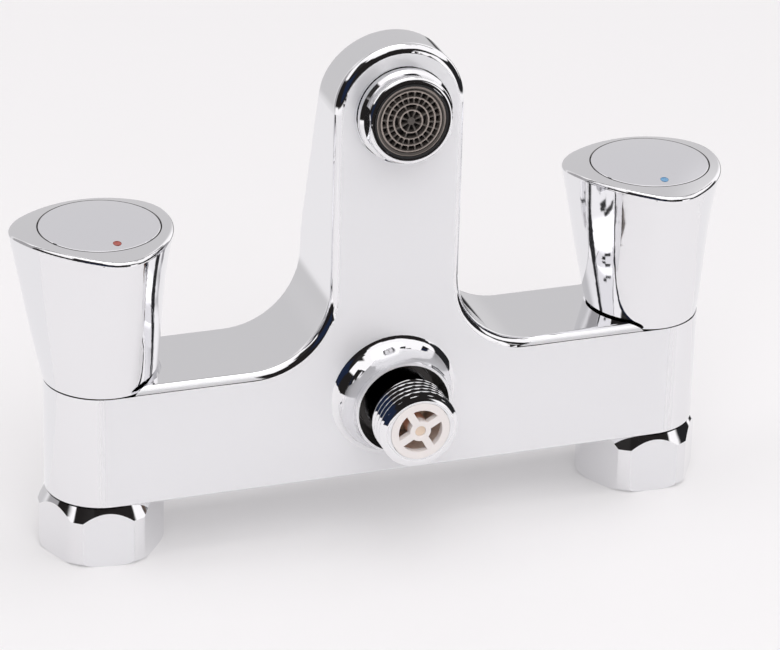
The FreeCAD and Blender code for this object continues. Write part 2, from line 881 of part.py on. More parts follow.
def headpart(label, x):
    body = turned(label, [
        (0, valve_seat + S.skirt_lift),
        (S.skirt_radius, valve_seat + S.skirt_lift),
        (S.skirt_radius, chamber_top),
        (S.inlet_thread_radius, chamber_top),
        (S.inlet_thread_radius, seat_floor),
        (S.headpart_flange_radius, seat_floor),
        (S.headpart_flange_radius, flange_top),
        (S.headpart_neck_radius, flange_top),
        (S.headpart_neck_radius, neck_top),
        (0, neck_top),
    ], x=x)
    faces = draw(new_sketch(body, "hex", "XY", (0, 0, flange_top)), hexagon(S.headpart_flats))
    add(body, "Pad", "hex", faces, Length=S.headpart_hex_height)
    bore = S.spindle_radius + S.shaft_clearance
    revolve(body, "bore", [
        (0, valve_seat),
        (S.skirt_bore_radius, valve_seat),
        (S.skirt_bore_radius, skirt_ceiling),
        (bore, skirt_ceiling),
        (bore, neck_top + 1),
        (0, neck_top + 1),
    ], kind="Groove")
    half = S.window_width / 2
    windows = draw(new_sketch(body, "windows"), rectangle(
        (-half, moving_disc_under + S.running_gap), (half, moving_disc_under + S.window_height),
    ))
    add(body, "Pocket", "windows", windows, Length=S.skirt_radius * 3, Midplane=True)


def ring_levels():
    """Lower edges of the two ring grooves, centred in the headpart's long bore."""
    middle = (skirt_ceiling + neck_top) / 2
    lower = middle - S.spindle_groove_spacing / 2 - S.spindle_groove_width / 2
    return [lower, lower + S.spindle_groove_spacing]


def spindle(label, x):
    shaft = S.spindle_radius
    outline = [
        (0, drive_under),
        (S.drive_radius, drive_under),
        (S.drive_radius, drive_top),
        (shaft, drive_top),
    ]
    for level in ring_levels():
        outline += [
            (shaft, level),
            (S.spindle_groove_radius, level),
            (S.spindle_groove_radius, level + S.spindle_groove_width),
            (shaft, level + S.spindle_groove_width),
        ]
    bevel = S.spline_notch
    body = turned(label, outline + [
        (shaft, clip_under),
        (S.clip_groove_radius, clip_under),
        (S.clip_groove_radius, clip_top),
        (shaft, clip_top),
        (shaft, spindle_top - bevel),
        (shaft - bevel, spindle_top),
        (S.screw_radius, spindle_top),
        (S.screw_radius, spindle_top - S.screw_hole_depth),
        (0, spindle_top - S.screw_hole_depth),
    ], x=x)
    half_long = S.tang_length / 2
    half_wide = S.tang_width / 2
    tang = draw(new_sketch(body, "tang", "XY", (0, 0, drive_under)), rectangle(
        (-half_long, -half_wide), (half_long, half_wide),
    ))
    add(body, "Pad", "tang", tang, Length=S.tang_height, Reversed=True)
    notch = new_sketch(body, "notch", "XY", (0, 0, spline_under))
    draw(notch, [(shaft - bevel, 0), (shaft + bevel, -bevel), (shaft + bevel, bevel)])
    cut = add(body, "Pocket", "notch", notch, Length=S.spline_length + 1, Reversed=True)
    polar(body, "spline", cut, S.spline_count, notch)


def retaining_clip(label, x):
    body = ring(label, S.clip_groove_radius + S.fit_clearance, S.clip_radius, clip_under, clip_top, x=x)
    half = S.clip_opening / 2
    mouth = draw(new_sketch(body, "mouth", "XY", (0, 0, clip_under)), rectangle(
        (0, -half), (S.clip_radius * 2, half),
    ))
    add(body, "Pocket", "mouth", mouth, Length=S.clip_thickness * 3, Midplane=True)


def headpart_pieces(name, x):
    seal_radius = S.skirt_bore_radius - S.fit_clearance
    ring(f"{name}_valve_seal", S.valve_seal_bore_radius, seal_radius, valve_seat, fixed_disc_under, x=x)
    valve_disc(f"{name}_fixed_disc", x, fixed_disc_under, S.fixed_disc_thickness, seal_radius, 0)
    moving_disc(f"{name}_moving_disc", x)
    headpart(f"{name}_headpart", x)
    spindle(f"{name}_spindle", x)
    levels = [level + S.spindle_groove_width / 2 for level in ring_levels()]
    ring_radius = S.spindle_groove_radius + S.spindle_ring_section
    o_rings(f"{name}_spindle_rings", ring_radius, S.spindle_ring_section, levels, x=x)
    retaining_clip(f"{name}_retaining_clip", x)


# Handles

def side_centre(here, there, reach):
    """Centre of the arc that bulges out between two lobes, as far as reach from the centre of each."""
    gap = there - here
    inward = Vector(-gap.y, gap.x, 0).normalize()
    return (here + there) / 2 + inward * math.sqrt(reach * reach - gap.Length * gap.Length / 4)


def direction(centre, point):
    return math.atan2(point.y - centre.y, point.x - centre.x)


def lobed_outline(sketch, long_lobe, short_lobe, lobe_round, side_radius, back_radius):
    """A rounded triangle of six smooth arcs: a long lobe on the first axis and two short ones behind."""
    up = Vector(0, 0, 1)
    rules = []
    lobes = []
    for angle, lobe in ((0, long_lobe), (120, short_lobe), (240, short_lobe)):
        reach = lobe - lobe_round
        lobes.append((reach * cosine(angle), reach * sine(angle)))
    corners = [flat(lobe) for lobe in lobes]
    radii = [side_radius, back_radius, side_radius]
    away = [
        side_centre(corners[number], corners[(number + 1) % 3], (radius - lobe_round).value)
        for number, radius in enumerate(radii)
    ]
    pieces = []
    for number, lobe in enumerate(lobes):
        corner = corners[number]
        after = corners[(number + 1) % 3]
        first = direction(away[number - 1], corner)
        last = direction(away[number], corner)
        lobe_circle = Part.Circle(corner, up, lobe_round.value)
        index = sketch.addGeometry(Part.ArcOfCircle(lobe_circle, first, last), False)
        rules += hold(index, 3, lobe)
        rules.append(("Radius", (index,), lobe_round))
        pieces.append(index)
        side_circle = Part.Circle(away[number], up, radii[number].value)
        side_end = direction(away[number], after)
        index = sketch.addGeometry(Part.ArcOfCircle(side_circle, last, side_end), False)
        rules.append(("Radius", (index,), radii[number]))
        pieces.append(index)
    for before, after in zip(pieces, pieces[1:] + pieces[:1]):
        rules.append(("Tangent", (before, 2, after, 1), None))
    constrain(sketch, rules)
    return sketch


def handle_sections():
    """Each level of the handle with its long lobe, short lobes, lobe round, side radius and back radius."""
    return [
        (handle_foot, (
            S.handle_long_lobe_foot, S.handle_short_lobe_foot, S.handle_lobe_round_foot,
            S.handle_side_radius_foot, S.handle_back_radius_foot,
        )),
        (S.handle_lower_level, (
            S.handle_long_lobe_lower, S.handle_short_lobe_lower, S.handle_lobe_round_lower,
            S.handle_side_radius_lower, S.handle_back_radius_lower,
        )),
        (S.handle_upper_level, (
            S.handle_long_lobe_upper, S.handle_short_lobe_upper, S.handle_lobe_round_upper,
            S.handle_side_radius_upper, S.handle_back_radius_upper,
        )),
        (S.handle_top_level, (
            S.handle_long_lobe_top, S.handle_short_lobe_top, S.handle_lobe_round_top,
            S.handle_side_radius_top, S.handle_back_radius_top,
        )),
    ]


def dome_arc(radius):
    """The crown of the handle and its cap: an arc from the axis out to a radius."""
    centre_level = S.handle_crown - S.handle_dome_radius
    drop = root(S.handle_dome_radius * S.handle_dome_radius - radius * radius)
    return Arc((radius, centre_level + drop), (0, centre_level), S.handle_dome_radius)


def handle(label, x, turn):
    body = new_body(label, x=x, turn=turn)
    sections = []
    for number, (level, sizes) in enumerate(handle_sections()):
        sketch = new_sketch(body, f"section_{number}", "XY", (0, 0, level))
        sections.append(lobed_outline(sketch, *sizes))
    loft = add(body, "AdditiveLoft", "shell", sections[0])
    loft.Sections = sections[1:]
    over = S.handle_long_lobe_top + 2
    crown = dome_arc(over)
    revolve(body, "crown", [
        (0, S.handle_crown),
        crown,
        (over, S.handle_top_level + 1),
        (0, S.handle_top_level + 1),
    ], kind="Groove")
    rim = S.handle_crown.value - 8
    round_edges(body, "rim", S.handle_rim_round, lambda spot: spot.z > rim)
    revolve(body, "cavity", [
        (0, handle_foot - 1),
        (S.handle_bore_radius, handle_foot - 1),
        (S.handle_bore_radius, flange_top),
        (S.handle_cavity_radius, S.handle_deck_under),
        (S.handle_boss_radius, S.handle_deck_under),
        (S.handle_boss_radius, spline_under),
        (0, spline_under),
    ], kind="Groove")
    insert_bore = S.insert_radius + S.fit_clearance
    screw_bore = S.screw_radius + S.running_gap
    cap_bore = S.cap_radius + S.fit_clearance
    seam = dome_arc(cap_bore + S.cap_seam).end
    revolve(body, "socket", [
        (0, spline_under - 1),
        (insert_bore, spline_under - 1),
        (insert_bore, insert_top),
        (screw_bore, insert_top),
        (screw_bore, screw_seat),
        (S.screw_well_radius, screw_seat),
        (S.screw_well_radius, S.cap_floor),
        (cap_bore, S.cap_floor),
        (cap_bore, seam[1] - S.cap_seam),
        seam,
        (seam[0], S.handle_top_level + 1),
        (0, S.handle_top_level + 1),
    ], kind="Groove")


def handle_cap(label, x, dot_spot):
    plug_bore = S.cap_plug_radius - S.cap_plug_wall
    edge = dome_arc(S.cap_radius - S.cap_seam)
    body = turned(label, [
        (0, S.cap_underside),
        (plug_bore, S.cap_underside),
        (plug_bore, S.cap_plug_foot),
        (S.cap_plug_radius, S.cap_plug_foot),
        (S.cap_plug_radius, S.cap_underside),
        (S.cap_radius - S.cap_skirt, S.cap_underside),
        (S.cap_radius - S.cap_skirt, S.cap_floor),
        (S.cap_radius, S.cap_floor),
        (S.cap_radius, edge.end[1] - S.cap_seam),
        edge.end,
        Arc((0, S.handle_crown), edge.centre, edge.radius),
    ], x=x)
    well = new_sketch(body, "dot", "XY", (0, 0, dot_top() - S.dot_depth))
    draw_circle(well, S.dot_radius + S.fit_clearance, dot_spot)
    add(body, "Pocket", "dot", well, Length=S.dot_depth * 3, Reversed=True)


def dot_top():
    """Level of the crown at the middle of the colour dot."""
    drop = root(S.handle_dome_radius * S.handle_dome_radius - S.dot_circle * S.dot_circle)
    return S.handle_crown - S.handle_dome_radius + drop


def handle_screw(label, x):
    body = turned(label, [
        (0, spindle_top - S.screw_hole_depth + 1),
        (S.screw_radius - S.fit_clearance, spindle_top - S.screw_hole_depth + 1),
        (S.screw_radius - S.fit_clearance, screw_seat),
        (S.screw_head_radius, screw_seat),
        (S.screw_head_radius, screw_seat + S.screw_head_height),
        (0, screw_seat + S.screw_head_height),
    ], x=x)
    top = screw_seat + S.screw_head_height
    key = draw(new_sketch(body, "key", "XY", (0, 0, top)), hexagon(S.screw_key_flats))
    add(body, "Pocket", "key", key, Length=S.screw_key_depth)


def handle_pieces(name, x, turn, dot_angle):
    insert_bore = S.spindle_radius + S.fit_clearance
    ring(f"{name}_spline_insert", insert_bore, S.insert_radius, spline_under, insert_top, x=x)
    handle(f"{name}_handle", x, turn)
    handle_screw(f"{name}_handle_screw", x)
    dot_spot = (S.dot_circle * cosine(dot_angle), S.dot_circle * sine(dot_angle))
    handle_cap(f"{name}_cap", x, dot_spot)
    dot = new_body(f"{name}_dot", x=x, z=dot_top() - S.dot_depth)
    face = draw_circle(new_sketch(dot, "face", "XY"), S.dot_radius, dot_spot)
    add(dot, "Pad", "face", face, Length=S.dot_depth)


# Shower outlet: levels here run from the body's middle towards -Y

def shower_outlet():
    place = {"z": S.outlet_level, "tip": 90}
    thread = S.inlet_thread_radius
    turned("shower_nipple", [
        (S.nipple_stop_radius, S.nipple_root),
        (thread, S.nipple_root),
        (thread, S.boss_reach - S.nipple_relief),
        (S.nipple_relief_radius, S.boss_reach - S.nipple_relief),
        (S.nipple_relief_radius, S.boss_reach + S.nipple_relief_reach),
        (thread, S.boss_reach + S.nipple_relief_reach),
        (thread, S.nipple_reach - S.nipple_chamfer),
        (S.nipple_bore_radius + S.nipple_land, S.nipple_reach),
        (S.nipple_bore_radius, S.nipple_reach),
        (S.nipple_bore_radius, S.nipple_stop),
        (S.nipple_stop_radius, S.nipple_stop),
    ], **place)
    check_valve(place)


def check_valve(place):
    back = S.nipple_stop
    front = S.nipple_reach + S.cage_proud
    inner_face = front - S.cage_face
    hub_end = front - S.cage_hub_length
    groove = back + S.cage_groove_depth_in
    bore = S.cage_radius - S.cage_wall
    stem_bore = S.poppet_stem_radius + S.shaft_clearance
    cage = turned("check_valve_cage", [
        (S.cage_seat_radius, back),
        (S.cage_radius, back),
        (S.cage_radius, groove),
        (S.cage_groove_radius, groove),
        (S.cage_groove_radius, groove + S.cage_groove_width),
        (S.cage_radius, groove + S.cage_groove_width),
        (S.cage_radius, front),
        (stem_bore, front),
        (stem_bore, hub_end),
        (S.cage_hub_radius, hub_end),
        (S.cage_hub_radius, inner_face),
        (bore, inner_face),
        (bore, back + S.cage_seat),
        (S.cage_seat_radius, back + S.cage_seat),
    ], **place)
    windows = new_sketch(cage, "windows", "XY", (0, 0, front))
    for quarter in range(4):
        turn = S.cage_spoke_turn + 90 * quarter
        draw(windows, window_corners(S.cage_hub_radius, S.cage_window_radius, S.cage_spoke / 2, turn))
    add(cage, "Pocket", "windows", windows, Length=S.cage_face + 1)
    ring_radius = S.cage_groove_radius + S.cage_ring_section
    ring_level = groove + S.cage_groove_width / 2
    o_rings("check_valve_ring", ring_radius, S.cage_ring_section, [ring_level], **place)
    seal_face = back + S.cage_seat
    poppet_back = seal_face + S.poppet_seal
    poppet_front = poppet_back + S.poppet_thickness
    ring("check_valve_seal", S.poppet_seal_bore_radius, S.poppet_seal_radius,
         seal_face, poppet_back, **place)
    turned("check_valve_poppet", [
        (0, poppet_back),
        (S.poppet_radius, poppet_back),
        (S.poppet_radius, poppet_front),
        (S.poppet_stem_radius, poppet_front),
        (S.poppet_stem_radius, front - S.poppet_stem_short),
        (0, front - S.poppet_stem_short),
    ], **place)
    wire = S.poppet_spring_wire / 2
    coil("check_valve_spring", S.poppet_spring_radius, wire, poppet_front + wire, hub_end - wire,
         S.poppet_spring_turns, place)


def window_corners(inner, outer, half_spoke, turn):
    """Corners of a window between two straight spokes, the first at turn and the next at 90 degrees."""
    inner_reach = root(inner * inner - half_spoke * half_spoke)
    outer_reach = root(outer * outer - half_spoke * half_spoke)
    corners = (
        (inner_reach, half_spoke),
        (outer_reach, half_spoke),
        (half_spoke, outer_reach),
        (half_spoke, inner_reach),
    )
    first, second, third, fourth = [
        (along * cosine(turn) - across * sine(turn), along * sine(turn) + across * cosine(turn))
        for along, across in corners
    ]
    return [first, second, Arc(third, (0, 0), outer), fourth, Arc(first, (0, 0), inner)]


def sector(inner, outer, first, span):
    """Corners of a ring sector from the angle first over span degrees."""
    last = first + span
    return [
        (inner * cosine(first), inner * sine(first)),
        (outer * cosine(first), outer * sine(first)),
        Arc((outer * cosine(last), outer * sine(last)), (0, 0), outer),
        (inner * cosine(last), inner * sine(last)),
        Arc((inner * cosine(first), inner * sine(first)), (0, 0), inner),
    ]


def coil(label, radius, wire_radius, low, high, turns, place):
    """An open coil spring of round wire, from the middle of its first turn to that of its last."""
    body = new_body(label, **place)
    section = draw_circle(new_sketch(body, "wire"), wire_radius, (radius, low))
    helix = add(body, "AdditiveHelix", "coil", section, ReferenceAxis=(section, ["V_Axis"]))
    helix.Mode = "height-turns-angle"
    helix.Height = (high - low).value
    bind(helix, "Height", high - low)
    helix.Turns = turns.value
    bind(helix, "Turns", turns)


# Diverter: levels here also run towards -Y, so its knob is at the negative end

def diverter():
    place = {"z": S.outlet_level, "tip": 90}
    seat = S.diverter_inner_seat
    boss = -S.diverter_boss_reach
    gasket = boss - S.gasket_thickness
    flange = gasket - S.bonnet_flange
    bonnet_end = flange - S.bonnet_hex_height
    rod = S.diverter_rod_radius
    tail = S.diverter_tail_radius
    tail_bore = tail + S.fit_clearance
    gasket_bore = S.diverter_thread_radius + S.fit_clearance * 2
    ring("diverter_gasket", gasket_bore, S.gasket_radius, gasket, boss, **place)
    bonnet = turned("diverter_bonnet", [
        (0, -S.diverter_chamber_end),
        (S.diverter_thread_radius, -S.diverter_chamber_end),
        (S.diverter_thread_radius, gasket),
        (S.bonnet_flange_radius, gasket),
        (S.bonnet_flange_radius, flange),
        (0, flange),
    ], **place)
    faces = draw(new_sketch(bonnet, "hex", "XY", (0, 0, flange)), hexagon(S.bonnet_flats))
    add(bonnet, "Pad", "hex", faces, Length=S.bonnet_hex_height, Reversed=True)
    rod_bore = rod + S.shaft_clearance
    revolve(bonnet, "bore", rectangle((0, bonnet_end - 1), (rod_bore, 0)), kind="Groove")

    shower_seal = seat - S.diverter_seat_gap
    disc_front = shower_seal - S.diverter_seal_thickness
    disc_back = disc_front - S.diverter_disc_thickness
    spout_seal = disc_back - S.diverter_seal_thickness
    nut_end = shower_seal + S.diverter_nut_height
    knob_foot = bonnet_end - S.knob_gap
    rod_end = knob_foot - S.knob_socket_depth
    groove = -S.diverter_ring_level
    groove_half = S.diverter_ring_section + S.fit_clearance
    turned("diverter_spindle", [
        (0, nut_end),
        (tail, nut_end),
        (tail, disc_back),
        (rod, disc_back),
        (rod, groove + groove_half),
        (S.diverter_rod_groove_radius, groove + groove_half),
        (S.diverter_rod_groove_radius, groove - groove_half),
        (rod, groove - groove_half),
        (rod, rod_end),
        (0, rod_end),
    ], **place)
    ring_radius = S.diverter_rod_groove_radius + S.diverter_ring_section
    o_rings("diverter_ring", ring_radius, S.diverter_ring_section, [groove], **place)
    ring("diverter_disc", tail_bore, S.diverter_disc_radius, disc_back, disc_front, **place)
    ring("diverter_shower_seal", tail_bore, S.diverter_seal_radius, disc_front, shower_seal, **place)
    seal_bore = rod + S.fit_clearance
    ring("diverter_spout_seal", seal_bore, S.diverter_seal_radius, spout_seal, disc_back, **place)
    nut = new_body("diverter_nut", **place)
    blank = draw(new_sketch(nut, "blank", "XY", (0, 0, shower_seal)), hexagon(S.diverter_nut_flats))
    add(nut, "Pad", "blank", blank, Length=S.diverter_nut_height)
    revolve(nut, "bore", rectangle((0, shower_seal - 1), (tail_bore, nut_end + 1)), kind="Groove")
    wire = S.diverter_spring_wire / 2
    spring_low = -S.diverter_chamber_end + wire
    spring_high = spout_seal - wire
    coil("diverter_spring", S.diverter_spring_radius, wire, spring_low, spring_high,
         S.diverter_spring_turns, place)
    diverter_knob(place, knob_foot, rod_end)


def diverter_knob(place, foot, socket_end_level):
    crown = foot - S.knob_height
    head = crown + S.knob_head_height
    soft = S.knob_round
    turned("diverter_knob", [
        (S.diverter_rod_radius + S.fit_clearance, foot),
        (S.knob_foot_radius, foot),
        (S.knob_waist_radius, (foot + head) / 2),
        (S.knob_head_radius, head),
        (S.knob_head_radius, crown + soft),
        Arc((S.knob_head_radius - soft, crown), (S.knob_head_radius - soft, crown + soft), soft),
        (0, crown),
        (0, socket_end_level),
        (S.diverter_rod_radius + S.fit_clearance, socket_end_level),
    ], **place)


# Aerator: levels run outwards along the tilted outlet axis from the front face

def aerator():
    place = {"y": -S.bar_half_depth, "z": aerator_level, "tip": S.aerator_tip}
    reach = S.housing_reach
    foot = S.nozzle_collar_reach + S.housing_gap
    shelf = S.nozzle_collar_reach + S.nozzle_thread_length + S.running_gap
    band = foot + S.housing_band
    slope = S.housing_radius - S.housing_nose_radius
    lip = S.housing_lip_round
    nose = S.housing_nose_radius
    thread = S.nozzle_thread_radius + S.fit_clearance
    housing = turned("aerator_housing", [
        (thread, foot),
        (S.housing_radius, foot),
        (S.housing_radius, band),
        (nose, band + slope),
        (nose, reach - lip),
        Arc((nose - lip, reach), (nose - lip, reach - lip), lip),
        (S.housing_bore_radius, reach),
        (S.housing_bore_radius, shelf),
        (thread, shelf),
    ], **place)
    half_flats = S.housing_flats / 2
    flats = new_sketch(housing, "flats", "XY", (0, 0, band + slope))
    for side in (-1, 1):
        near = half_flats * side
        far = S.housing_radius * 2 * side
        wide = S.housing_radius
        corners = rectangle((near, -wide), (far, wide))
        draw(flats, corners)
    add(housing, "Pocket", "flats", flats, Length=reach, Reversed=True)
    core_front = reach - S.insert_sink - S.insert_disc_thickness
    core_back = core_front - S.core_thickness
    ring_face = reach + S.aerator_ring_proud
    ring("aerator_ring", S.aerator_ring_bore, S.aerator_ring_radius, shelf, ring_face, **place)
    grid_insert(place, core_front)
    core = new_body("aerator_core", **place)
    blank = draw_circle(new_sketch(core, "blank", "XY", (0, 0, core_back)), S.insert_disc_radius)
    add(core, "Pad", "blank", blank, Length=S.core_thickness)
    hole = new_sketch(core, "hole", "XY", (0, 0, core_back))
    draw_circle(hole, S.core_hole_radius, (S.core_hole_circle, 0))
    cut = add(core, "Pocket", "hole", hole, Length=reach * 2, Midplane=True)
    polar(core, "holes", cut, S.core_holes, hole)


def grid_insert(place, level):
    """The outlet grid: rings and spokes left standing between through cells."""
    body = new_body("aerator_grid", **place)
    blank = draw_circle(new_sketch(body, "blank", "XY", (0, 0, level)), S.insert_disc_radius)
    add(body, "Pad", "blank", blank, Length=S.insert_disc_thickness)
    face = level + S.insert_disc_thickness
    groove_end = S.grid_groove_radius + S.grid_groove_width
    floor = face - S.grid_groove_depth
    revolve(body, "groove", rectangle((S.grid_groove_radius, floor), (groove_end, face + 1)), kind="Groove")
    bar = S.grid_bar / 2
    rows = (
        (S.grid_hub_radius, S.grid_ring_one, S.grid_spokes),
        (S.grid_ring_one, S.grid_ring_two, S.grid_spokes),
        (S.grid_ring_two, S.grid_ring_three, S.grid_cells),
        (S.grid_ring_three, S.grid_ring_four, S.grid_cells),
    )
    for number, (inner, outer, count) in enumerate(rows):
        middle = (inner + outer) / 2
        spoke_angle = S.grid_bar / middle * (180 / math.pi)
        span = 360 / count - spoke_angle
        cell = new_sketch(body, f"cell_{number}", "XY", (0, 0, level))
        draw(cell, sector(inner + bar, outer - bar, span / -2, span))
        cut = add(body, "Pocket", f"cell_{number}", cell, Length=S.insert_disc_thickness * 3, Midplane=True)
        polar(body, f"cells_{number}", cut, count, cell)


def check(items):
    """Stops the build where an object has failed or a piece has no sound solid."""
    for item in doc.Objects:
        if "Invalid" in item.State or "Error" in item.State:
            raise RuntimeError(f"{item.Label} failed: {item.State}")
    for body in items:
        if body.Shape.isNull() or not body.Shape.isValid() or not body.Shape.Solids:
            raise RuntimeError(f"{body.Label} has no sound solid")


cast_body()
for name, side, nut_turn, handle_turn, dot_angle in (
    ("hot", -1, S.hot_nut_turn, S.hot_handle_turn, S.hot_dot_angle),
    ("cold", 1, S.cold_nut_turn, S.cold_handle_turn, S.cold_dot_angle),
):
    inlet_x = S.inlet_spacing / 2 * side
    union_nut(f"{name}_union_nut", inlet_x, nut_turn)
    inlet_connector(f"{name}_inlet_connector", inlet_x)
    ring(f"{name}_sealing_washer", S.washer_bore_radius, S.washer_radius,
         washer_under, connector_under, x=inlet_x)
    strainer(f"{name}_strainer", inlet_x)
    headpart_pieces(name, inlet_x)
    handle_pieces(name, inlet_x, handle_turn, dot_angle)
shower_outlet()
diverter()
aerator()
doc.recompute()
check(bodies)

os.makedirs("parts", exist_ok=True)
for body in bodies:
    body.Shape.exportStep(os.path.join("parts", f"{body.Label}.step"))
print(f"{len(bodies)} pieces written")
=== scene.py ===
import json
import math

import bmesh
import bpy
from mathutils import Matrix, Vector


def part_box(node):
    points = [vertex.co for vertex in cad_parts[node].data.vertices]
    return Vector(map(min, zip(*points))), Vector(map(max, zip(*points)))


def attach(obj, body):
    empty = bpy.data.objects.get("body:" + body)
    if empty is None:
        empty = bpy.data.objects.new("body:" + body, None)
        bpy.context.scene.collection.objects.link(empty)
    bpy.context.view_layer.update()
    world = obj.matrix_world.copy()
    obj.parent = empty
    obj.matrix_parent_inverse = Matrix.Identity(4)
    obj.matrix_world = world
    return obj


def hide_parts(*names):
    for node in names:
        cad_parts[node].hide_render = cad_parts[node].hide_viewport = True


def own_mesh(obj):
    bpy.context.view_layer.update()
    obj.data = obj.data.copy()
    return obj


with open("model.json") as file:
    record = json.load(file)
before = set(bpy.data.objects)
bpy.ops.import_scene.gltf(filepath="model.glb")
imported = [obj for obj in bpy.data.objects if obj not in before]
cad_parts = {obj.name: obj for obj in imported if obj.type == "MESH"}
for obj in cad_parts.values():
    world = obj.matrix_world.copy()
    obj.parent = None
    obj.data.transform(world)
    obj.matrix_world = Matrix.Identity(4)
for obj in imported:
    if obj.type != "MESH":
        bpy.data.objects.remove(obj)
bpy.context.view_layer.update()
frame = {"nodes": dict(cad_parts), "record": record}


def add_object(name, data):
    made = bpy.data.objects.new(name, data)
    bpy.context.scene.collection.objects.link(made)
    return made


# Camera, in metres: solved from the photo with the inlets 150 mm apart

PHOTO_WIDTH = 780
SENSOR = 36.0
FOCAL_PIXELS = 4198.1
AZIMUTH = math.radians(-19.27358)
ELEVATION = math.radians(26.02207)
ROLL = math.radians(1.57257)
DISTANCE = 1.103269
TARGET = Vector((0.003708, 0.0, 0.051969))
CLIP_START = 0.05
CLIP_END = 20.0


def make_camera():
    back = Vector((
        math.sin(AZIMUTH) * math.cos(ELEVATION),
        -math.cos(AZIMUTH) * math.cos(ELEVATION),
        math.sin(ELEVATION),
    ))
    level = (-back).cross(Vector((0, 0, 1))).normalized()
    raised = level.cross(-back)
    right = level * math.cos(ROLL) + raised * math.sin(ROLL)
    up = raised * math.cos(ROLL) - level * math.sin(ROLL)
    data = bpy.data.cameras.new("photo_camera")
    data.sensor_width = SENSOR
    data.lens = FOCAL_PIXELS / PHOTO_WIDTH * SENSOR
    data.clip_start = CLIP_START
    data.clip_end = CLIP_END
    camera = add_object("photo_camera", data)
    turn = Matrix((right, up, back)).transposed()
    camera.matrix_world = Matrix.Translation(TARGET + back * DISTANCE) @ turn.to_4x4()
    bpy.context.scene.camera = camera


make_camera()


# Shader nodes

def new_material(name):
    material = bpy.data.materials.new(name)
    material.use_nodes = True
    tree = material.node_tree
    tree.nodes.clear()
    out = tree.nodes.new("ShaderNodeOutputMaterial")
    shader = tree.nodes.new("ShaderNodeBsdfPrincipled")
    tree.links.new(shader.outputs[0], out.inputs["Surface"])
    return material, tree, shader


def node(tree, kind, **values):
    """A new node. A value goes to the input of its name, or else to the node's own setting."""
    made = tree.nodes.new(kind)
    for key, value in values.items():
        if key in made.inputs:
            made.inputs[key].default_value = value
        else:
            setattr(made, key, value)
    return made


def feed(tree, socket, item):
    """Give a socket a number, or the output of another node."""
    if isinstance(item, (int, float)):
        socket.default_value = item
    else:
        tree.links.new(item, socket)


def math_node(tree, operation, first, second=None):
    made = node(tree, "ShaderNodeMath", operation=operation)
    feed(tree, made.inputs[0], first)
    if second is not None:
        feed(tree, made.inputs[1], second)
    return made.outputs[0]


def product(tree, *items):
    total = items[0]
    for item in items[1:]:
        total = math_node(tree, "MULTIPLY", total, item)
    return total


def soft_step(tree, value, start, end):
    """0 on the side of start and 1 on the side of end, smooth between them."""
    step = node(tree, "ShaderNodeMapRange", interpolation_type="SMOOTHSTEP")
    step.inputs["From Min"].default_value = start
    step.inputs["From Max"].default_value = end
    tree.links.new(value, step.inputs["Value"])
    return step.outputs[0]


def soft_span(tree, value, low, high, soft):
    """1 where the value lies between low and high, falling to 0 over a soft edge."""
    rise = soft_step(tree, value, low - soft, low + soft)
    fall = soft_step(tree, value, high + soft, high - soft)
    return product(tree, rise, fall)


def blend(tree, factor, first, second):
    """A number between two others."""
    spread = node(tree, "ShaderNodeMapRange")
    tree.links.new(factor, spread.inputs["Value"])
    feed(tree, spread.inputs["To Min"], first)
    feed(tree, spread.inputs["To Max"], second)
    return spread.outputs[0]


def mix_color(tree, factor, first, second):
    mix = node(tree, "ShaderNodeMix", data_type="RGBA")
    tree.links.new(factor, mix.inputs["Factor"])
    for name, item in (("A", first), ("B", second)):
        socket = next(held for held in mix.inputs if held.name == name and held.type == "RGBA")
        if isinstance(item, tuple):
            socket.default_value = (*item, 1)
        else:
            tree.links.new(item, socket)
    return next(held for held in mix.outputs if held.type == "RGBA")


def split(tree, output):
    """The three numbers of a position, a normal or a direction."""
    spot = node(tree, "ShaderNodeTexCoord")
    parts = node(tree, "ShaderNodeSeparateXYZ")
    tree.links.new(spot.outputs[output], parts.inputs[0])
    return [parts.outputs[axis] for axis in "XYZ"]


def distance_from(tree, across, up, level):
    """Distance of the point (across, up) from (0, level)."""
    across_squared = math_node(tree, "POWER", across, 2.0)
    up_squared = math_node(tree, "POWER", math_node(tree, "SUBTRACT", up, level), 2.0)
    return math_node(tree, "SQRT", math_node(tree, "ADD", across_squared, up_squared))


# Materials

# How roughness drifts over a surface: scale and detail of its noise, and its lowest and highest share
PLATING_DRIFT = 90.0
FINE_DRIFT = 400.0
DRIFT_DETAIL = 3.0
DRIFT_LOW = 0.8
DRIFT_HIGH = 1.3


def haze(tree, scale, roughness):
    """Roughness that drifts a little over the surface, as a real finish does."""
    spot = node(tree, "ShaderNodeTexCoord")
    noise = node(tree, "ShaderNodeTexNoise", Scale=scale, Detail=DRIFT_DETAIL)
    tree.links.new(spot.outputs["Object"], noise.inputs["Vector"])
    return blend(tree, noise.outputs[0], roughness * DRIFT_LOW, min(1.0, roughness * DRIFT_HIGH))


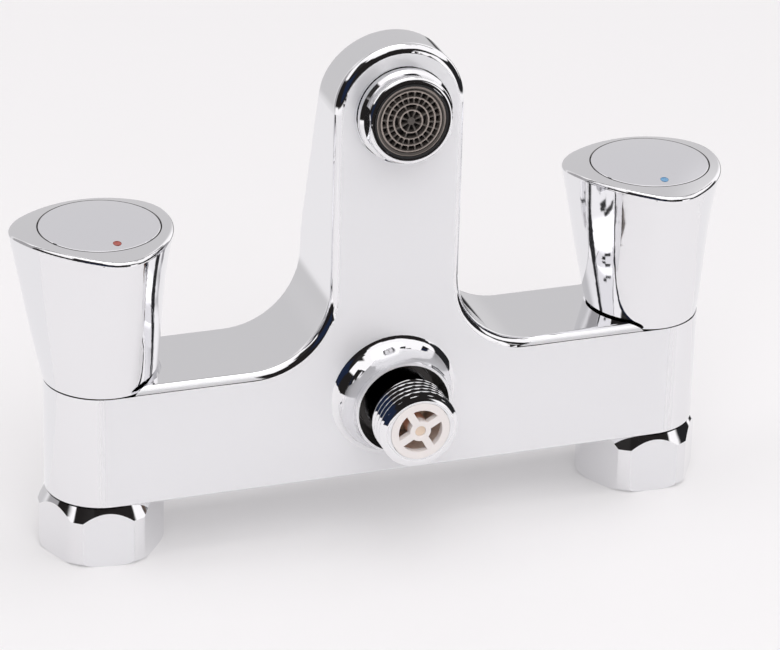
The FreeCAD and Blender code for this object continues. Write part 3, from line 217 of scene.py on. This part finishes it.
# Spans of a position in metres, or of a part of the surface's normal: lowest, highest, soft edge.
# The satin takes in the flat front, the round ends of the bar and the rounding above its front;
# its white is painted reflection on the front and ends, and painted highlight on the rounding.
# SATIN_FACING is a span of Layer Weight's Facing, 0 face on, past which the satin turns glossy.
FRONT_NORMAL_Y = (-1.5, -0.999, 0.0005)
END_NORMAL_Y = (-1.5, -0.97, 0.025)
END_NORMAL_Z = (-0.06, 0.06, 0.02)
EDGE_PAST_SPOUT = (0.024, 1.0, 0.003)
EDGE_Z = (0.0468, 0.0507, 0.0001)
EDGE_NORMAL_X = (-0.03, 0.03, 0.01)
EDGE_NORMAL_Y = (-1.1, -0.2, 0.02)
EDGE_NORMAL_Z = (0.2, 0.62, 0.02)
SATIN_FACING = (-1.0, 0.3, 0.08)
# The satin's white colour and low metallic are painted light: painted reflection on the front and ends,
# painted highlight on the rounding above the front
PAINTED_REFLECTION_COLOR = (0.91, 0.91, 0.93)
PAINTED_REFLECTION_METALLIC = 0.3
SATIN_ROUGHNESS = 0.3
OUTLET_LEVEL = 0.0394
# The outlet's recess gets painted shade: a dark colour where its walls would shade each other
RECESS_RADIUS = (0.0085, 0.01237, 0.00002)
RECESS_DEPTH = (-0.0232, -0.0150, 0.0001)
RECESS_PAINTED_SHADE = (0.022, 0.018, 0.016)
RECESS_ROUGHNESS = 0.2


# Where the satin's white is painted: painted reflection on the front and ends, painted highlight on the
# rounding above the front
def painted_reflection_area(tree, x, z):
    nx, ny, nz = split(tree, "Normal")
    front = soft_span(tree, ny, *FRONT_NORMAL_Y)
    end = product(tree, soft_span(tree, ny, *END_NORMAL_Y), soft_span(tree, nz, *END_NORMAL_Z))
    # The rounding above the front, where the white is a painted highlight
    edge = product(
        tree,
        soft_span(tree, math_node(tree, "ABSOLUTE", x), *EDGE_PAST_SPOUT),
        soft_span(tree, z, *EDGE_Z),
        soft_span(tree, nx, *EDGE_NORMAL_X),
        soft_span(tree, nz, *EDGE_NORMAL_Z),
        soft_span(tree, ny, *EDGE_NORMAL_Y),
    )
    return math_node(tree, "MAXIMUM", math_node(tree, "MAXIMUM", front, end), edge)


def plating(name, color, roughness):
    """Mirror plating of the body: semi-matt with painted white reflection and highlight on its front, and
    painted shade in the outlet's hollow.
    """
    material, tree, shader = new_material(name)
    x, y, z = split(tree, "Object")
    satin_painted_reflection = painted_reflection_area(tree, x, z)
    around = distance_from(tree, x, z, OUTLET_LEVEL)
    # Painted shade down the outlet's recess
    recess_painted_shade = product(tree, soft_span(tree, around, *RECESS_RADIUS), soft_span(tree, y, *RECESS_DEPTH))
    # Base colour: the plating's own, painted white reflection and highlight where the satin is, and
    # painted shade in the recess
    tint = mix_color(tree, recess_painted_shade, mix_color(tree, satin_painted_reflection, color, PAINTED_REFLECTION_COLOR), RECESS_PAINTED_SHADE)
    tree.links.new(tint, shader.inputs["Base Color"])
    tree.links.new(blend(tree, satin_painted_reflection, 1.0, PAINTED_REFLECTION_METALLIC), shader.inputs["Metallic"])
    weight = node(tree, "ShaderNodeLayerWeight")
    matt = product(tree, satin_painted_reflection, soft_span(tree, weight.outputs["Facing"], *SATIN_FACING))
    rough = blend(tree, matt, haze(tree, PLATING_DRIFT, roughness), SATIN_ROUGHNESS)
    tree.links.new(blend(tree, recess_painted_shade, rough, RECESS_ROUGHNESS), shader.inputs["Roughness"])
    return material


INLET_OFFSET = 0.075
SEAM_RADIUS = (0.01552, 0.01592, 0.00003)
SEAM_LEVEL = (0.0885, 1.0, 0.0002)
SEAM_COLOR = (0.1, 0.096, 0.096)


def chrome(name, color, roughness):
    """Mirror plating, dark down in the thin seam around each cap."""
    material, tree, shader = new_material(name)
    x, y, z = split(tree, "Object")
    from_inlet = math_node(tree, "SUBTRACT", math_node(tree, "ABSOLUTE", x), INLET_OFFSET)
    around = distance_from(tree, from_inlet, y, 0.0)
    seam = product(tree, soft_span(tree, around, *SEAM_RADIUS), soft_span(tree, z, *SEAM_LEVEL))
    tree.links.new(mix_color(tree, seam, color, SEAM_COLOR), shader.inputs["Base Color"])
    shader.inputs["Metallic"].default_value = 1.0
    tree.links.new(haze(tree, PLATING_DRIFT, roughness), shader.inputs["Roughness"])
    return material


def plain(name, color, roughness, metallic=0.0):
    material, tree, shader = new_material(name)
    shader.inputs["Base Color"].default_value = (*color, 1)
    shader.inputs["Metallic"].default_value = metallic
    tree.links.new(haze(tree, FINE_DRIFT, roughness), shader.inputs["Roughness"])
    return material


# Inside the valve's cage, painted brown shade, and on the lower right of it painted light, where more
# light comes through
VALVE_INSIDE = (-0.0343, 1.0, 0.0006)
VALVE_PAINTED_LIGHT_SPAN = (0.004, 1.0, 0.005)
VALVE_SHADE_BROWN = (0.85, 0.5, 0.36)
VALVE_PAINTED_LIGHT_COLOR = (1.0, 0.88, 0.78)


def valve_plastic_painted_shade(name, color, roughness):
    """Warm white plastic with painted brown shade inside, and painted light toward the lower right of the
    inside.
    """
    material, tree, shader = new_material(name)
    x, y, z = split(tree, "Object")
    # Painted brown shade inside the cage, and painted light toward its lower right
    inside = soft_span(tree, y, *VALVE_INSIDE)
    toward = math_node(tree, "SUBTRACT", x, math_node(tree, "SUBTRACT", z, OUTLET_LEVEL))
    painted_light = soft_span(tree, toward, *VALVE_PAINTED_LIGHT_SPAN)
    brown = mix_color(tree, painted_light, VALVE_SHADE_BROWN, VALVE_PAINTED_LIGHT_COLOR)
    tree.links.new(mix_color(tree, inside, color, brown), shader.inputs["Base Color"])
    tree.links.new(haze(tree, FINE_DRIFT, roughness), shader.inputs["Roughness"])
    return material


GRID_LEVEL = 0.11983
GRID_RINGS = (0.00295, 0.0046, 0.0063, 0.0079, 0.00905)
RING_HALF_WIDTH = 0.00022
RING_SOFT = 0.00008
PALE_RING_COLOR = (0.36, 0.31, 0.28)


def grid_plastic(name, color, roughness):
    """Brown-grey plastic, paler on the rings of the outlet grid than on its fine spokes."""
    material, tree, shader = new_material(name)
    x, _, z = split(tree, "Object")
    around = distance_from(tree, x, z, GRID_LEVEL)
    rings = 0.0
    for radius in GRID_RINGS:
        band = soft_span(tree, around, radius - RING_HALF_WIDTH, radius + RING_HALF_WIDTH, RING_SOFT)
        rings = math_node(tree, "MAXIMUM", band, rings)
    tree.links.new(mix_color(tree, rings, color, PALE_RING_COLOR), shader.inputs["Base Color"])
    tree.links.new(haze(tree, FINE_DRIFT, roughness), shader.inputs["Roughness"])
    return material


# For each material slot: what makes it, its colour, its roughness, and 1.0 if it is a bare metal
LOOKS = {
    "chrome_plated_brass": (plating, (0.87, 0.87, 0.885), 0.04),
    "chrome_plated_handle": (chrome, (0.87, 0.87, 0.885), 0.04),
    "chrome_plated_cap": (chrome, (0.93, 0.93, 0.96), 0.08),
    "bare_brass": (plain, (0.76, 0.6, 0.33), 0.3, 1.0),
    "turned_brass": (plain, (0.78, 0.63, 0.36), 0.25, 1.0),
    "spring_steel": (plain, (0.62, 0.62, 0.63), 0.3, 1.0),
    "screw_steel": (plain, (0.58, 0.58, 0.6), 0.35, 1.0),
    "steel_mesh": (plain, (0.66, 0.66, 0.67), 0.4, 1.0),
    "black_rubber": (plain, (0.01, 0.01, 0.011), 0.5),
    "fibre_washer": (plain, (0.05, 0.045, 0.04), 0.8),
    "ceramic": (plain, (0.9, 0.88, 0.84), 0.15),
    "ceramic_upper": (plain, (0.8, 0.81, 0.83), 0.15),
    "white_plastic": (valve_plastic_painted_shade, (0.95, 0.9, 0.88), 0.35),
    "cream_plastic": (plain, (0.86, 0.7, 0.56), 0.4),
    "grey_plastic": (grid_plastic, (0.09, 0.078, 0.07), 0.4),
    "dark_plastic": (plain, (0.015, 0.012, 0.012), 0.4),
    "hot_red": (plain, (0.4, 0.08, 0.06), 0.3),
    "cold_blue": (plain, (0.15, 0.36, 0.6), 0.3),
}
MATERIALS = {slot: make(slot, *look) for slot, (make, *look) in LOOKS.items()}

for entry in frame["record"]["subparts"]:
    piece = frame["nodes"][entry["node"]]
    piece.data.materials.clear()
    piece.data.materials.append(MATERIALS[entry["material_slot"]])


# Threaded shower nipple, in place of the plain one. Lengths along it are distances in front of the
# plane of the inlets; the others are radii.

NECK_START = 0.0175
NECK_RADIUS = 0.0089
BORE_RADIUS = 0.0060
SOCKET_START = 0.0200
SOCKET_RADIUS = 0.0080
THREAD_START = 0.0270
THREAD_LEAD = 0.0006
THREAD_PITCH = 0.001814
THREAD_ROOT = 0.0094
THREAD_STEPS = 150
# How much steeper than a plain triangle the flanks are, which leaves flats at the root and the crest
FLANK_GAIN = 1.5
CHAMFER_LENGTH = 0.0007
CHAMFER_RADIUS = 0.0092
AROUND = 144
SHARP_ANGLE = math.radians(35)


def thread_wave(turns):
    """Height from 0 at the root to 1 at the crest, for a position counted in turns of the thread."""
    phase = turns - math.floor(turns)
    flank = 1 - abs(phase * 2 - 1)
    return min(1.0, max(0.0, flank * FLANK_GAIN - (FLANK_GAIN - 1) / 2))


def thread_ring(reach, front, crest):
    """Radii around the thread at one distance: it rises from the neck and ends in a chamfer."""
    lead = min(1.0, (reach - THREAD_START) / THREAD_LEAD)
    chamfer_slope = (crest - CHAMFER_RADIUS) / CHAMFER_LENGTH
    limit = crest - max(0.0, reach - (front - CHAMFER_LENGTH)) * chamfer_slope
    row = []
    for index in range(AROUND):
        wave = thread_wave((reach - THREAD_START) / THREAD_PITCH + index / AROUND)
        radius = THREAD_ROOT + (crest - THREAD_ROOT) * wave
        row.append((reach, min(limit, NECK_RADIUS + (radius - NECK_RADIUS) * lead)))
    return row


def nipple_rings(back, front, crest):
    """Rings of (distance, radius), from the back over the outside to the front and back inside."""
    outer = [
        (back, BORE_RADIUS),
        (back, crest),
        (NECK_START, crest),
        (NECK_START, NECK_RADIUS),
        (THREAD_START, NECK_RADIUS),
    ]
    inner = [(front, SOCKET_RADIUS), (SOCKET_START, SOCKET_RADIUS), (SOCKET_START, BORE_RADIUS)]
    rings = [[place] * AROUND for place in outer]
    for step in range(THREAD_STEPS + 1):
        reach = THREAD_START + (front - THREAD_START) * step / THREAD_STEPS
        rings.append(thread_ring(reach, front, crest))
    return rings + [[place] * AROUND for place in inner]


def make_nipple():
    low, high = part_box("shower_nipple")
    middle_z = (low.z + high.z) / 2
    mesh = bmesh.new()
    rows = []
    for ring in nipple_rings(-high.y, -low.y, (high.x - low.x) / 2):
        row = []
        for index, (reach, radius) in enumerate(ring):
            angle = math.tau * index / AROUND
            spot = (radius * math.cos(angle), -reach, middle_z + radius * math.sin(angle))
            row.append(mesh.verts.new(spot))
        rows.append(row)
    for near, far in zip(rows, rows[1:] + rows[:1]):
        for index in range(AROUND):
            after = (index + 1) % AROUND
            mesh.faces.new((near[index], near[after], far[after], far[index]))
    bmesh.ops.recalc_face_normals(mesh, faces=mesh.faces)
    data = bpy.data.meshes.new("threaded_nipple")
    mesh.to_mesh(data)
    mesh.free()
    data.shade_smooth()
    data.set_sharp_from_angle(angle=SHARP_ANGLE)
    piece = add_object("threaded_nipple", data)
    data.materials.append(MATERIALS["chrome_plated_brass"])
    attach(piece, "body")
    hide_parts("shower_nipple")
    piece.visible_glossy = False


make_nipple()


# Springs, each copied onto a mesh of its own in place of the stiff one: joint, fixed end, and the
# length left at the joint's end as a share of the length at rest
SPRINGS = {
    "diverter_spring": ("diverter_pull", (0, 0.0125, 0), 0.0072 / 0.0135),
    "check_valve_spring": ("check_valve_lift", (0, -0.0310, 0), 0.0049 / 0.0074),
}


def make_springs():
    for name, (joint, fixed_end, share) in SPRINGS.items():
        stiff = frame["nodes"][name]
        piece = add_object(f"closing_{name}", stiff.data.copy())
        piece.matrix_world = stiff.matrix_world.copy()
        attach(piece, "body")
        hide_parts(name)
        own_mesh(piece)


make_springs()


# Floor: half its width, its front and its back, in metres. The plating mirrors the sheet under the
# part, and the studio's floor light beyond it.
SHEET = (0.21, -0.2, 0.03)
FLOOR = (4.0, -4.0, 4.0)
FLOOR_COLOR = (0.745, 0.733, 0.739, 1)
FLOOR_ROUGHNESS = 0.9
FLOOR_LIFT = 0.15


def floor_material():
    """Pale and matt, a little lighter to the camera and in reflections than its light makes it."""
    material, tree, shader = new_material("pale_floor")
    shader.inputs["Base Color"].default_value = FLOOR_COLOR
    shader.inputs["Roughness"].default_value = FLOOR_ROUGHNESS
    shader.inputs["Specular IOR Level"].default_value = 0.0
    ray = node(tree, "ShaderNodeLightPath")
    seen = ray.outputs["Is Camera Ray"]
    for kind in ("Is Glossy Ray", "Is Transmission Ray"):
        seen = math_node(tree, "MAXIMUM", seen, ray.outputs[kind])
    shader.inputs["Emission Color"].default_value = (1, 1, 1, 1)
    tree.links.new(product(tree, seen, FLOOR_LIFT), shader.inputs["Emission Strength"])
    return material


def make_floor():
    """A sheet under the part, and the floor around it."""
    material = floor_material()
    rims = []
    for half, front, back in (SHEET, FLOOR):
        rims.append([(-half, front, 0), (half, front, 0), (half, back, 0), (-half, back, 0)])
    around = [(side, (side + 1) % 4, 4 + (side + 1) % 4, 4 + side)[::-1] for side in range(4)]
    for name, corners, faces, mirrored in (
        ("floor_sheet", rims[0], [(0, 1, 2, 3)], True),
        ("floor", rims[0] + rims[1], around, False),
    ):
        mesh = bpy.data.meshes.new(name)
        mesh.from_pydata(corners, [], faces)
        mesh.materials.append(material)
        piece = add_object(name, mesh)
        piece.visible_glossy = mirrored


make_floor()


# Light on everything but the mirror plating, in metres and watts
LIGHT_SIZE = 1.6
LIGHT_ENERGY = 11.0
LIGHT_PLACE = (-0.3, -1.3, 1.1)
LIGHT_AIM = Vector((0, 0, 0.05))


def make_front_light():
    """A broad soft light from the viewer's side, which the plating doesn't mirror."""
    data = bpy.data.lights.new("front_light", "AREA")
    data.shape = "DISK"
    data.size = LIGHT_SIZE
    data.energy = LIGHT_ENERGY
    light = add_object("front_light", data)
    light.location = LIGHT_PLACE
    light.rotation_euler = (LIGHT_AIM - light.location).to_track_quat("-Z", "Y").to_euler()
    light.visible_glossy = False


make_front_light()


# Studio seen in the plating, in degrees: azimuth from -Y towards +X, and elevation

# The backdrop behind the object, each span with its soft edge, and the bright rest
BACKDROP_AROUND = (140, 400, 12.0)
BACKDROP_HEIGHT = (-26, 62, 8.0)
BACKDROP_COLOR = (0.64, 0.63, 0.64)
OVERHEAD = (1.12, 1.1, 1.11)
# Patches: azimuth, elevation, how far the patch leans sideways per degree of elevation, how soft its
# edge is, and its brightness. A later one covers an earlier one.
STUDIO = {
    "floor_light": ((-400, 400), (-95, -20), 0.0, 4.0, (0.9, 0.885, 0.9)),
    "zenith": ((-400, 400), (66, 95), 0.0, 6.0, (1.7, 1.68, 1.69)),
    "dim_left": ((-136, -100), (-18, 30), 0.0, 6.0, (0.4, 0.39, 0.4)),
    "dark_left": ((-106, -60), (-14, 22), 0.0, 1.5, (0.018, 0.016, 0.016)),
    "dark_room": ((-66, 26), (-16, 33), 0.0, 1.5, (0.018, 0.016, 0.016)),
    "doorway": ((-64, -14), (30, 39), 0.0, 1.5, (0.018, 0.016, 0.016)),
    "figure": ((-70, -34), (28, 50), -0.5, 2.0, (0.03, 0.028, 0.028)),
    "navy_cloth": ((-52, -18), (-11, 18), -0.5, 3.0, (0.014, 0.022, 0.05)),
    "lamp_shade": ((4, 20), (28, 38), 0.0, 1.5, (0.02, 0.018, 0.018)),
    "dark_arc": ((18, 50), (10, 34), -0.8, 1.5, (0.02, 0.018, 0.018)),
    "dark_right": ((46, 110), (-17, 14), 0.0, 1.5, (0.02, 0.02, 0.022)),
    "dark_far": ((100, 154), (-17, -8), 0.0, 2.0, (0.03, 0.03, 0.032)),
    "dark_corner": ((98, 106), (52, 59), 0.0, 1.0, (0.03, 0.03, 0.03)),
    "dark_ledge": ((86, 102), (60, 66), 0.0, 1.0, (0.03, 0.03, 0.03)),
}
# A dark rail high up behind the object: spans of the direction's Y and Z
RAIL_BACK = (0.31, 0.42, 0.01)
RAIL_HIGH = (0.48, 2.0, 0.02)
RAIL_COLOR = (0.03, 0.03, 0.032)


def make_world():
    world = bpy.data.worlds.new("studio")
    world.use_nodes = True
    tree = world.node_tree
    tree.nodes.clear()
    out = tree.nodes.new("ShaderNodeOutputWorld")
    background = tree.nodes.new("ShaderNodeBackground")
    tree.links.new(background.outputs[0], out.inputs[0])
    x, y, z = split(tree, "Generated")
    azimuth = math_node(tree, "DEGREES", math_node(tree, "ARCTAN2", x, product(tree, y, -1.0)))
    elevation = math_node(tree, "DEGREES", math_node(tree, "ARCSINE", z))
    behind = soft_span(tree, math_node(tree, "ABSOLUTE", azimuth), *BACKDROP_AROUND)
    mask = product(tree, behind, soft_span(tree, elevation, *BACKDROP_HEIGHT))
    color = mix_color(tree, mask, OVERHEAD, BACKDROP_COLOR)
    for across, up, lean, soft, brightness in STUDIO.values():
        above_middle = math_node(tree, "SUBTRACT", elevation, (up[0] + up[1]) / 2)
        place = math_node(tree, "SUBTRACT", azimuth, product(tree, above_middle, lean))
        mask = product(tree, soft_span(tree, place, *across, soft), soft_span(tree, elevation, *up, soft))
        color = mix_color(tree, mask, color, brightness)
    rail = product(tree, soft_span(tree, y, *RAIL_BACK), soft_span(tree, z, *RAIL_HIGH))
    color = mix_color(tree, rail, color, RAIL_COLOR)
    tree.links.new(color, background.inputs["Color"])
    bpy.context.scene.world = world


make_world()
bpy.context.scene.view_settings.view_transform = "Standard"
